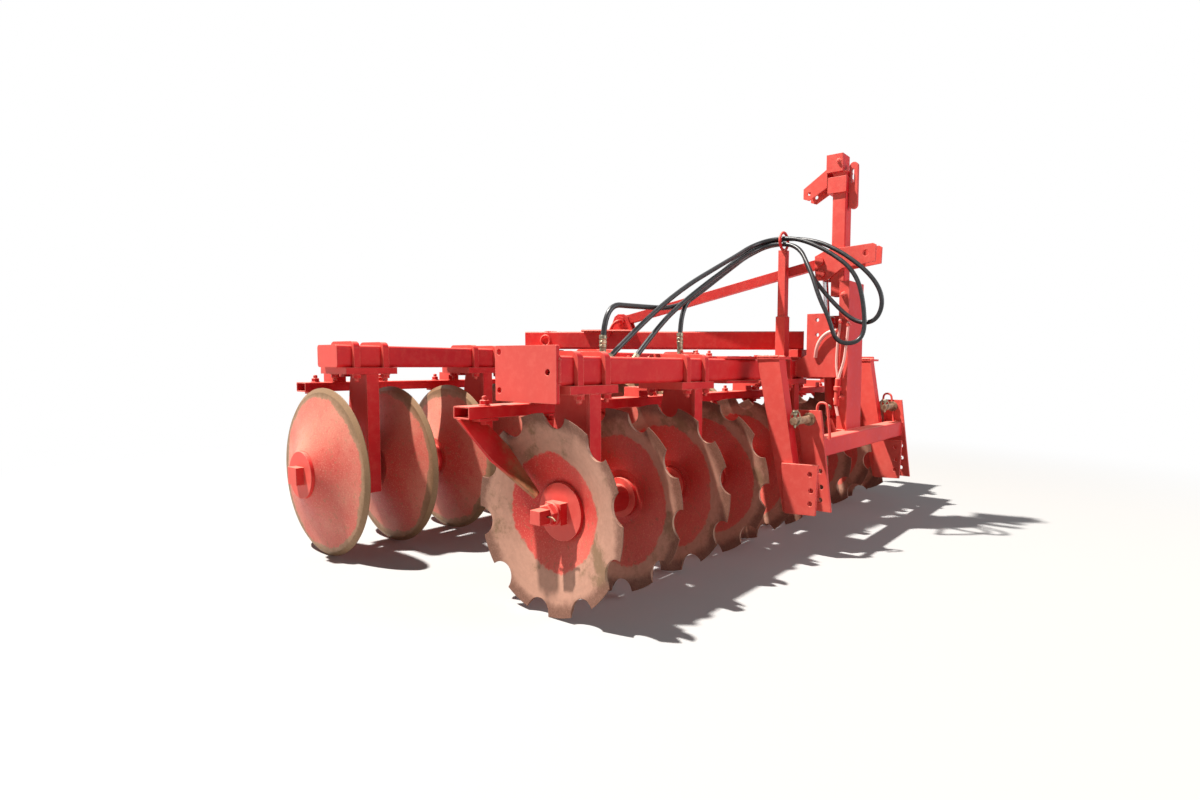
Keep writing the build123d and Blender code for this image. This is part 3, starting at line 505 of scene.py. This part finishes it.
# %% Make a blade finish
def blade_paint(name, bolt, tip):
    finish = red.copy()
    finish.name = name
    tree = finish.node_tree
    coat = tree.nodes["Principled BSDF"]
    red_coat = coat.inputs["Base Color"].links[0].from_socket
    place = shader_node(tree, "ShaderNodeTexCoord").outputs["Object"]
    parts = shader_node(tree, "ShaderNodeSeparateXYZ")
    plug(tree, place, parts.inputs[0])
    run = Vector((tip[0] - bolt[0], tip[1] - bolt[1])).normalized()
    from_bolt = [minus(tree, parts.outputs[key], at) for key, at in zip("YZ", bolt)]
    down, lower = (
        plus(tree, *[times(tree, part, share) for part, share in zip(from_bolt, way)])
        for way in (run, (-run[1], run[0]))
    )
    rough_edge = times(tree, minus(tree, noise(tree, place, 30, 6, 0.7), 0.5), 0.035)
    lower = plus(tree, lower, rough_edge)
    lower = plus(tree, lower, map_range(tree, down, 0.10, 0.27, 0.0, 0.045))
    worn = map_range(tree, lower, -0.004, 0.018)
    mottled = map_range(tree, noise(tree, place, 24, 5, 0.6), 0.4, 0.62)
    soil = blend_colours(tree, mottled, screen_colour(176, 124, 92), screen_colour(132, 104, 70))
    plug(tree, blend_colours(tree, worn, red_coat, soil), coat.inputs["Base Color"])
    return finish


front_blade_paint = blade_paint("front_blade_paint", (-0.286, 0.532), (-0.419, 0.322))
rear_blade_paint = blade_paint("rear_blade_paint", (0.769, 0.572), (0.636, 0.342))
print("made", front_blade_paint.name, "and", rear_blade_paint.name)

# %% [markdown]
# ## Bare, bright and soft finishes
# The hitch pins are plain steel with a brown bloom of rust, the cylinder rods are bright chrome, the hose
# ends are dull plated steel, and the hoses are black rubber with greyer patches. They could be four separate
# trees of nodes, but they differ only in two colours, shine and grain, so one function makes all four.

# %% Make the small finishes
def plain_finish(name, light, dark, metallic, rough, scale, bump_depth=0.0003):
    finish, tree, surface, place = new_finish(name)
    grain = noise(tree, place, scale, 6, 0.65)
    soft_normal = rounded_normal(tree, 0.0015)
    colour = blend_colours(tree, map_range(tree, grain, 0.35, 0.65), dark, light)
    colour = blend_colours(tree, times(tree, edge_mask(tree, soft_normal), 0.5), colour, light)
    plug(tree, colour, surface.inputs["Base Color"])
    surface.inputs["Metallic"].default_value = metallic
    plug(tree, map_range(tree, grain, 0.3, 0.7, *rough), surface.inputs["Roughness"])
    add_bump(tree, surface, soft_normal, grain, bump_depth, strength=0.4)
    return finish


rusty_steel = plain_finish(
    "rusty_pin_steel", screen_colour(166, 138, 112), screen_colour(104, 74, 56),
    metallic=0.55, rough=(0.38, 0.62), scale=40,
)
bright_rod = plain_finish(
    "bright_rod", screen_colour(226, 226, 228), screen_colour(196, 196, 200),
    metallic=1.0, rough=(0.08, 0.2), scale=12,
)
plated_steel = plain_finish(
    "plated_steel", screen_colour(176, 166, 140), screen_colour(104, 96, 80),
    metallic=0.8, rough=(0.32, 0.52), scale=60,
)
hose_rubber = plain_finish(
    "hose_rubber", screen_colour(34, 33, 36), screen_colour(14, 14, 16),
    metallic=0.0, rough=(0.3, 0.42), scale=90, bump_depth=0.0002,
)
print("made", rusty_steel.name, bright_rod.name, plated_steel.name, "and", hose_rubber.name)

# %% Put the finishes on the parts
for piece in hose_pieces:
    piece.data.materials.append(hose_rubber)

finish_of = {
    "front_discs": front_disc_steel,
    "rear_discs": rear_disc_steel,
    "front_scrapers": front_blade_paint,
    "rear_scrapers": rear_blade_paint,
    "hitch_pins": rusty_steel,
    "mast_cylinder_rod": bright_rod,
    "angle_cylinder_rod": bright_rod,
    "hose_fittings": plated_steel,
}
for name, part in nodes.items():
    part.data.materials.clear()
    part.data.materials.append(finish_of.get(name, red))
print(len(finish_of), "parts have a finish of their own, the rest are red")

# %% [markdown]
# ## Nuts, washers and pins
# A machine like this is held together by nuts, and each has a washer, a chamfer and a thread end. They could
# be copied in as separate objects, but a few hundred objects are slow to handle, so all the nuts of a part go
# into one mesh. Every round or six-sided piece is the same thing to a lathe: a profile turned about a line.

# %% Turned pieces
up, down = (0, 0, 1), (0, 0, -1)
to_right, to_tractor = (-1, 0, 0), (0, -1, 0)
smooth_below = math.radians(35)


def turned(form, place, axis, profile, sides, twist=0.0):
    """Turns a profile of (radius, height) about a line through the place."""
    stand = Matrix.Translation(Vector(place)) @ Vector(axis).to_track_quat("Z", "Y").to_matrix().to_4x4()
    stand = stand @ Matrix.Rotation(twist, 4, "Z")
    corners = [math.tau * k / sides for k in range(sides)]
    rings = []
    for radius, height in profile:
        ring = [Vector((radius * math.cos(a), radius * math.sin(a), height)) for a in corners]
        rings.append([form.verts.new(stand @ point) for point in ring])
    for lower, upper in zip(rings, rings[1:]):
        for k in range(sides):
            form.faces.new((lower[k], lower[(k + 1) % sides], upper[(k + 1) % sides], upper[k]))
    form.faces.new(rings[0][::-1])
    form.faces.new(rings[-1])


def steel_piece(name, form, finish, body):
    """Turns a finished form into an object that rides on a body."""
    mesh = bpy.data.meshes.new(name)
    bmesh.ops.recalc_face_normals(form, faces=form.faces)
    form.to_mesh(mesh)
    form.free()
    mesh.materials.append(finish)
    piece = add_object(name, mesh)
    mesh.shade_smooth()
    mesh.set_sharp_from_angle(angle=smooth_below)
    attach(piece, body)
    print(name, len(mesh.polygons), "faces")
    return piece


def nut(form, place, axis, flats, stud, twist):
    """Washer, six-sided nut with chamfered corners, and the thread's end, all in shares of the flats."""
    corner, washer, thread = flats * 0.577, flats * 0.66, flats * 0.31
    tall = flats * 0.12
    top = tall + flats * 0.52
    turned(form, place, axis, [(washer, -0.0003), (washer, tall * 0.8), (washer * 0.97, tall)], 24)
    turned(form, place, axis, [(corner, tall), (corner, top * 0.92), (corner * 0.88, top)], 6, twist)
    profile = [(thread, top - 0.0005)]
    for k in range(4):
        profile.append((thread, top + flats * stud * (k + 0.3) / 5))
        profile.append((thread * 0.93, top + flats * stud * (k + 0.8) / 5))
    profile.append((thread * 0.7, top + flats * stud))
    turned(form, place, axis, profile, 14)


print("turned(), nut() and steel_piece() are ready")

# %% Rows of discs and the nuts of their clamps
Row = namedtuple("Row", "name body beam_y beam_z hangers bar_y bar_z face rim_x")
rows = [
    Row("front", "frame", -0.476, 0.634, (-0.988, -0.484, 0.272, 1.028), -0.286, 0.540, -1, -1.100),
    Row("rear", "rear_frame", 0.579, 0.673, (-1.040, -0.536, 0.220, 0.976), 0.769, 0.580, 1, -1.175),
]
strap_apart = 0.054
strap_leg = 0.077
clamp_plate = 0.024
strap_nut = 0.024
for row in rows:
    form = bmesh.new()
    low_z = row.beam_z - clamp_plate
    for x in row.hangers:
        for dx in (-strap_apart, strap_apart):
            for dy in (-strap_leg, strap_leg):
                nut(form, (x + dx, row.beam_y + dy, low_z), down, strap_nut, 0.5, 0.2 + 9 * dx)
    steel_piece(row.name + "_strap_nuts", form, red, row.body)

# %% [markdown]
# ## Blade feet
# Every scraper blade is bolted to the bar above it through a small foot, so that it can be set closer to its
# disc as it wears. The foot is a piece of flat bar. It could be a plain box, but a box has no worn corners,
# so its side view is drawn once and swept across, and its edges are then bevelled.

# %% Make the blade feet
def drawn_plate(form, outline, low, high, lay=lambda point: point, bevel=0.0015):
    """Gives an outline a thickness between two levels, and breaks its edges."""
    lower = [form.verts.new(lay((a, b, low))) for a, b in outline]
    upper = [form.verts.new(lay((a, b, high))) for a, b in outline]
    count = len(outline)
    faces = [form.faces.new(lower[::-1]), form.faces.new(upper)]
    for k in range(count):
        faces.append(form.faces.new((lower[k], lower[(k + 1) % count], upper[(k + 1) % count], upper[k])))
    edges = list({edge for face in faces for edge in face.edges})
    bmesh.ops.bevel(form, geom=edges, offset=bevel, segments=2, affect="EDGES", profile=0.6)


discs_per_row = 10
disc_pitch = 0.252
bar_tall = 0.035
blade_root_out = 0.092
foot_back, foot_half = 0.036, 0.032
foot_thick, foot_gap = 0.008, 0.0002
foot_nut = 0.024
bolt_head = [(0.0138, -0.0003), (0.0138, 0.009), (0.0115, 0.0105)]
for row in rows:
    form = bmesh.new()
    front_y, bolt_y, back_y = row.bar_y - 0.034, row.bar_y - 0.014, row.bar_y + 0.003
    low_z, high_z = row.bar_z - foot_thick, row.bar_z - foot_gap
    side_view = [(front_y, low_z), (back_y, low_z), (back_y, high_z), (front_y, high_z)]
    for k in range(discs_per_row):
        root = row.rim_x + disc_pitch * k + row.face * blade_root_out
        middle = root - row.face * foot_back
        drawn_plate(form, side_view, middle - foot_half, middle + foot_half, lambda p: (p[2], p[0], p[1]))
        nut(form, (middle, bolt_y, row.bar_z + bar_tall), up, foot_nut, 0.5, 0.5 * k)
        turned(form, (middle, bolt_y, low_z), down, bolt_head, 6, 0.3 * k)
    steel_piece(row.name + "_blade_feet", form, red, row.body)

# %% [markdown]
# ## Plates that grip the legs
# Two plates, above and below the front beam, hold the top of each headstock leg. The CAD has them as plain
# rectangles, whose outer corners would shade the leg. In the photograph the leg is in the sun, so the real
# plates are probably cut back there. How far is a guess. The same drawn_plate() makes them from a shorter
# outline, and the CAD's plates give way to them.

# %% Cut the grip plates back
beam_back = -0.406
grips_apart = 0.984
grip_thick = 0.010
form = bmesh.new()
for shift, leg_side in ((0.0, -0.152), (grips_apart, 0.813)):
    left, right = -0.285 + shift, -0.059 + shift
    outer = [(left, beam_back), (left, -0.552), (leg_side - 0.045, -0.556), (leg_side, -0.598)]
    for front_y, level in ((-0.694, 0.714), (-0.615, 0.624)):
        outline = outer + [(leg_side, front_y), (right, front_y), (right, beam_back)]
        drawn_plate(form, outline, level, level + grip_thick, bevel=0.001)
grips = steel_piece("cut_grip_plates", form, red, "frame")
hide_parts("leg_grip_plates")

# %% [markdown]
# ## Welds
# Welded joints show a thin bead with a scale of small ripples. A smooth fillet would look like plastic, so
# the bead is turned too: its radius swells and shrinks every few millimetres along the joint, and half of it
# is sunk into the plates.

# %% A bead of weld
def weld(form, start, end, radius=0.0045):
    start, end = Vector(start), Vector(end)
    run = end - start
    steps = max(3, round(run.length / (0.9 * radius)))
    profile = [(radius * 0.35, 0.0)]
    for k in range(1, steps):
        swell = 1 + 0.16 * math.sin(2.1 * k) + 0.09 * math.sin(0.83 * k + 1)
        profile.append((radius * swell, run.length * k / steps))
    profile.append((radius * 0.35, run.length))
    turned(form, start, run, profile, 8)


def weld_round(form, corners, radius=0.0045):
    """Lays beads from corner to corner and back to the first."""
    for start, end in zip(corners, corners[1:] + corners[:1]):
        weld(form, start, end, radius)


print("weld() and weld_round() are ready")

# %% Welds of the hangers
web_side, web_front, web_back = 0.0085, 0.066, 0.060
flange_out, flange_half = 0.0825, 0.022
arm_side, arm_half = 0.035, 0.025
for row in rows:
    form = bmesh.new()
    low_z = row.beam_z - clamp_plate
    arm_z = row.bar_z + bar_tall
    flange_y = row.beam_y - flange_out
    for x in row.hangers:
        for side in (-web_side, web_side):
            weld(form, (x + side, row.beam_y - web_front, low_z), (x + side, row.beam_y + web_back, low_z))
        weld(form, (x - flange_half, flange_y, low_z), (x + flange_half, flange_y, low_z))
        for side in (-arm_side, arm_side):
            arm_y = row.bar_y + side
            weld(form, (x - arm_half, arm_y, arm_z), (x + arm_half, arm_y, arm_z), 0.004)
    steel_piece(row.name + "_hanger_welds", form, red, row.body)

# %% Welds of the headstock
plate_x = (-0.0585, 0.8945)
cross_front, cross_back, cross_low, cross_high = -0.829, -0.759, 0.350, 0.420
leg_x = (-0.1485, -0.0985, 0.8165, 0.8665)
leg_front, leg_back, leg_top = -0.690, -0.599, 0.724
cheek_x = (0.288, 0.452)
tube_x = (0.339, 0.401)
foot_front, mast_back, foot_top = -0.782, -0.739, 0.4205
beam_face = -0.546
end_plate_x = (-1.1065, 1.2685)
beam_outline = [(-0.541, 0.634), (-0.411, 0.634), (-0.4065, 0.640), (-0.4065, 0.708)]
beam_outline += [(-0.411, 0.714), (-0.541, 0.714), (-0.5465, 0.708), (-0.5465, 0.640)]
cross_outline = [(cross_front, cross_low), (cross_front, cross_high)]
cross_outline += [(cross_back, cross_high), (cross_back, cross_low)]

form = bmesh.new()
for x in plate_x:
    weld_round(form, [(x, y, z) for y, z in cross_outline])
for x in leg_x:
    weld(form, (x, leg_back, leg_top), (x, leg_front, leg_top), 0.005)
for x in cheek_x:
    weld(form, (x, foot_front, foot_top), (x, mast_back, foot_top))
    weld(form, (x, mast_back, 0.650), (x, mast_back, 0.790), 0.004)
    weld(form, (x, beam_face, 0.648), (x, beam_face, 0.704), 0.004)
weld(form, (cheek_x[0], foot_front, foot_top), (cheek_x[1], foot_front, foot_top))
for x in tube_x:
    weld(form, (x, mast_back, 0.990), (x, mast_back, 1.042), 0.004)
for x in end_plate_x:
    weld_round(form, [(x, y, z) for y, z in beam_outline])
# Squares round the hose post's foot, the mast's tube in its head, and the hose post's step
for left, right, front, back, z, radius in (
    (0.238, 0.282, -0.515, -0.471, 0.714, 0.0045),
    (0.339, 0.401, -0.739, -0.677, 1.503, 0.004),
    (0.243, 0.277, -0.510, -0.476, 0.902, 0.0035),
):
    weld_round(form, [(left, front, z), (right, front, z), (right, back, z), (left, back, z)], radius)
steel_piece("headstock_welds", form, red, "frame")

# %% [markdown]
# ## Linch pins and hoops
# Each lower pin has a cross hole for a linch pin: a short shank with a spring ring that snaps over the pin.
# The ring is a wire, and a curve with a round bevel draws a wire best, because its line can be bent point by
# point. The long plates carry a welded hoop of rod, which keeps a lifting arm's hook from slipping.

# %% Linch pins and their rings
def bent_rod(name, points, radius, finish, body, closed=False):
    piece = bent_curve(name, points, radius, 3, 6, closed)
    piece.data.materials.append(finish)
    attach(piece, body)


pin_y, pin_z = -0.782, 0.493
linch_pin = [(0.003, 0), (0.0054, 0.005), (0.0054, 0.046), (0.0095, 0.047), (0.0095, 0.060), (0.006, 0.063)]
ring_angles = [0.35 + 0.557 * k for k in range(11)]
form = bmesh.new()
for name, x in (("near", -0.1965), ("far", 0.7685)):
    turned(form, (x, pin_y, pin_z - 0.024), up, linch_pin, 16)
    ring = [
        (x + 0.004, pin_y + 0.019 * math.sin(a), pin_z + 0.012 + 0.030 * math.cos(a))
        for a in ring_angles
    ]
    bent_rod(name + "_linch_ring", ring, 0.0018, plated_steel, "frame")
steel_piece("linch_pins", form, plated_steel, "frame")

# %% Hoops for the hooks
hoop_shape = [(-0.820, 0.410), (-0.812, 0.470), (-0.805, 0.530), (-0.812, 0.553), (-0.832, 0.556)]
hoop_shape += [(-0.846, 0.548), (-0.850, 0.520), (-0.855, 0.470), (-0.860, 0.420)]
for name, x, back in (("near", -0.0625, 0.0), ("far", 0.890, 0.072)):
    hoop = [(x, y + back, z) for y, z in hoop_shape]
    bent_rod(name + "_hook_hoop", hoop, 0.005, red, "frame")
print("linch pins and hoops are on both lower hitch points")

# %% [markdown]
# ## Cylinder plumbing
# Two steel pipes feed the mast's cylinder. They run down its side, come together at a block in a long V, and
# a valve handle sits below. A third, thicker pipe leads round the back. They were painted red with the rest,
# and their pale pink is painted sunlight, for they stand in the sun. Pipes bend like rods, so they are made
# the same way.

# %% Pipes
# Pale pink on red pipes and the valve handle: painted sunlight
pale = paint(
    "sunlit_red_pipe_paint",
    deep=screen_colour(232, 150, 142),
    bright=screen_colour(240, 176, 166),
    chalk_and_sunlit_pink=screen_colour(248, 214, 204),
    bare=screen_colour(150, 110, 96),
    dust=screen_colour(190, 160, 140),
    painted_sunlight=0.8,
    chips=0.4,
)
pipes = {
    "pipe_left": (0.0055, [
        (0.276, -0.750, 0.884), (0.274, -0.750, 0.850), (0.274, -0.742, 0.790), (0.274, -0.738, 0.710),
        (0.274, -0.742, 0.665), (0.274, -0.748, 0.636),
    ]),
    "pipe_right": (0.0055, [
        (0.276, -0.786, 0.872), (0.274, -0.786, 0.840), (0.274, -0.780, 0.780), (0.274, -0.772, 0.710),
        (0.274, -0.756, 0.662), (0.274, -0.749, 0.632),
    ]),
    "bypass_pipe": (0.008, [
        (0.284, -0.640, 0.726), (0.276, -0.646, 0.757), (0.274, -0.658, 0.790), (0.274, -0.680, 0.818),
        (0.274, -0.712, 0.836), (0.284, -0.740, 0.838),
    ]),
}
for name, (radius, points) in pipes.items():
    bent_rod(name, points, radius, pale, "frame")
print("pipes:", ", ".join(pipes))

# %% Unions and valve handle
block = [(0.009, 0), (0.012, 0.004), (0.012, 0.034), (0.016, 0.036), (0.016, 0.052), (0.012, 0.054)]
block += [(0.012, 0.112), (0.009, 0.116)]
union = [(0.010, 0), (0.010, 0.012), (0.008, 0.014), (0.008, 0.020)]
form = bmesh.new()
turned(form, (0.274, -0.748, 0.640), (0, 0.04, -1), block, 16)
for y, z in ((-0.750, 0.872), (-0.786, 0.860), (-0.742, 0.838)):
    turned(form, (0.289, y, z), to_right, union, 6)
steel_piece("pipe_unions", form, red, "frame")
handle = [(0.274, -0.734, 0.556), (0.272, -0.738, 0.540), (0.272, -0.744, 0.510), (0.270, -0.752, 0.482)]
bent_rod("valve_handle", handle, 0.006, pale, "frame")

# %% Ports and gland of the cylinder
ram_foot = Vector((0.370, -0.690, 0.442))
ram_run = Vector((0, 0.052, 0.642)).normalized()
ram_length = 0.4535
gland = [(0.031, 0), (0.031, 0.004), (0.024, 0.007), (0.015, 0.008)]
port = [(0.012, 0), (0.012, 0.012), (0.009, 0.013), (0.009, 0.026)]
form = bmesh.new()
turned(form, ram_foot + ram_run * ram_length, ram_run, gland, 32)
for along in (0.07, 0.40):
    turned(form, ram_foot + ram_run * along + Vector((-0.027, 0, 0)), to_right, port, 16)
steel_piece("cylinder_ports", form, plated_steel, "frame")

# %% [markdown]
# ## Bolts of the mast
# The box at the top of the mast is pinched by a bolt, and the box at its foot by two more. A yellow plated
# nut sits low on the front beam's face, between the legs. They could be drawn one by one, but they are the
# same nut() again, only in other places and sizes.

# %% Nuts on the mast and on the beam
form = bmesh.new()
for place, flats in (
    ((0.3388, -0.708, 1.545), 0.022),
    ((0.2878, -0.760, 0.985), 0.020),
    ((0.2878, -0.760, 0.560), 0.020),
):
    nut(form, place, to_right, flats, 0.4, 0.2)
steel_piece("mast_bolts", form, red, "frame")
form = bmesh.new()
nut(form, (0.605, -0.5465, 0.652), to_tractor, 0.026, 0.6, 0.1)
steel_piece("plated_beam_nut", form, plated_steel, "frame")

# %% [markdown]
# ## Hose ends
# A hose is held in its fitting by a steel ferrule that is pressed on in rings. Each ferrule sits on the
# hose's first few centimetres, in line with it, so its axis comes from the first two points of the route.

# %% Ferrules
ferrule = [(0.0098, 0.0), (0.0122, 0.001), (0.0122, 0.008), (0.0108, 0.0095), (0.0108, 0.012)]
ferrule += [(0.0122, 0.0135), (0.0122, 0.021), (0.0108, 0.0225), (0.0108, 0.025), (0.0122, 0.0265)]
ferrule += [(0.0122, 0.038), (0.0112, 0.040), (0.0092, 0.0405)]
form = bmesh.new()
for route in hose_routes.values():
    for end, inner in ((route[0], route[1]), (route[-1], route[-2])):
        turned(form, end, Vector(inner) - Vector(end), ferrule, 24)
steel_piece("hose_ferrules", form, plated_steel, "frame")

# %% [markdown]
# ## Eye, handle, plates and main pivot
# The main beam has a lifting eye on its side and a plate welded on its top, and the stay's lower pin has a
# bent handle. A plate with four bolts clips a line to the front beam. The vertical pin on which the rear row
# swings ends flush with the top of the main beam, with a weld round it. Each could be modelled by hand, but
# the functions from before are quicker: rods are bent, plates are drawn and round parts are turned.

# %% Lifting eye and pin handle
beam_side = Vector((-0.90238, -0.43095, 0))
beam_along = Vector((0.43095, -0.90238, 0))
eye_middle = Vector((-0.129, 0.577, 0.800))
loop = []
for k in range(10):
    angle = math.tau * k / 10
    lift = Vector((0, 0, 0.026 * math.sin(angle)))
    loop.append(eye_middle + beam_along * (0.023 * math.cos(angle)) + lift + beam_side * 0.007)
bent_rod("lifting_eye", loop, 0.0055, red, "frame", closed=True)
crank = [(0.045, 0.245, 0.893), (0.015, 0.232, 0.893), (0.004, 0.240, 0.890), (-0.006, 0.262, 0.872)]
crank += [(-0.010, 0.284, 0.818)]
bent_rod("stay_pin_handle", crank, 0.0075, red, "frame")
print("lifting eye and pin handle are on the main beam")

# %% Plate on the main beam and line clip
lid_ends = [(-0.046, 0.404), (0.062, 0.178)]
lid_x, lid_y = 0.0355, 0.017
lid = [(x - lid_x, y - lid_y) for x, y in lid_ends] + [(x + lid_x, y + lid_y) for x, y in lid_ends[::-1]]
form = bmesh.new()
drawn_plate(form, lid, 0.8448, 0.852)
weld_round(form, [(x, y, 0.8455) for x, y in lid], 0.003)
steel_piece("main_beam_lid", form, red, "frame")

clip_top = 0.7215
clip = [(-0.440, -0.530), (-0.320, -0.530), (-0.320, -0.422), (-0.440, -0.422)]
form = bmesh.new()
drawn_plate(form, clip, 0.7135, clip_top)
for x in (-0.420, -0.340):
    for y in (-0.508, -0.444):
        nut(form, (x, y, clip_top), up, 0.019, 0.5, x * 9)
steel_piece("line_clip", form, red, "frame")

# %% Main pivot
pivot_x, pivot_y = -0.097, 0.579
weld_ring, weld_steps, weld_z = 0.027, 20, 0.845
form = bmesh.new()
for z, profile in (
    (0.838, [(0.0248, 0), (0.0248, 0.0072), (0.0235, 0.0082)]),
    (0.641, [(0.040, 0), (0.042, 0.002), (0.042, 0.022), (0.040, 0.024)]),
    (0.660, [(0.0249, 0), (0.0249, 0.18)]),
):
    turned(form, (pivot_x, pivot_y, z), up, profile, 40)
steps = [math.tau * k / weld_steps for k in range(weld_steps)]
circle = [(pivot_x + weld_ring * math.cos(a), pivot_y + weld_ring * math.sin(a), weld_z) for a in steps]
weld_round(form, circle, 0.003)
pivot = steel_piece("flush_pivot_pin", form, red, "frame")
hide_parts("pivot_pin")

# %% [markdown]
# ## Axle ends
# The discs of a row are pulled together by one nut at each end of the square axle. On the front row a round
# lock collar, a check nut and a split pin through the end follow it, so that the row can't come loose. The
# rear axle ends at its nut, so nothing is added there. The split pin is a bent wire, like the linch rings.

# %% Collars, check nuts and split pins
AxleEnd = namedtuple("AxleEnd", "name x out")
axle_ends = [AxleEnd("front_right", -1.137, -1), AxleEnd("front_left", 1.287, 1)]
axle_y, axle_z = -0.481, 0.280
axle_free = 0.064
collar = [(0.033, 0), (0.033, 0.007), (0.031, 0.009)]
check_nut = [(0.0325, 0), (0.0325, 0.016), (0.029, 0.019)]
pin_line = ((0.040, 0.003), (0.036, -0.003), (0.020, 0.0), (-0.022, 0.0), (-0.040, 0.003), (-0.050, -0.006))
for end in axle_ends:
    form = bmesh.new()
    inner = end.x - end.out * axle_free
    outward = (end.out, 0, 0)
    turned(form, (inner, axle_y, axle_z), outward, collar, 36)
    turned(form, (inner + end.out * 0.009, axle_y, axle_z), outward, check_nut, 6, 0.26)
    steel_piece(end.name + "_check_nut", form, red, "front_gang")
    split_pin = [(inner + end.out * 0.037, axle_y + dy, axle_z + dz) for dy, dz in pin_line]
    bent_rod(end.name + "_split_pin", split_pin, 0.0026, rusty_steel, "front_gang")
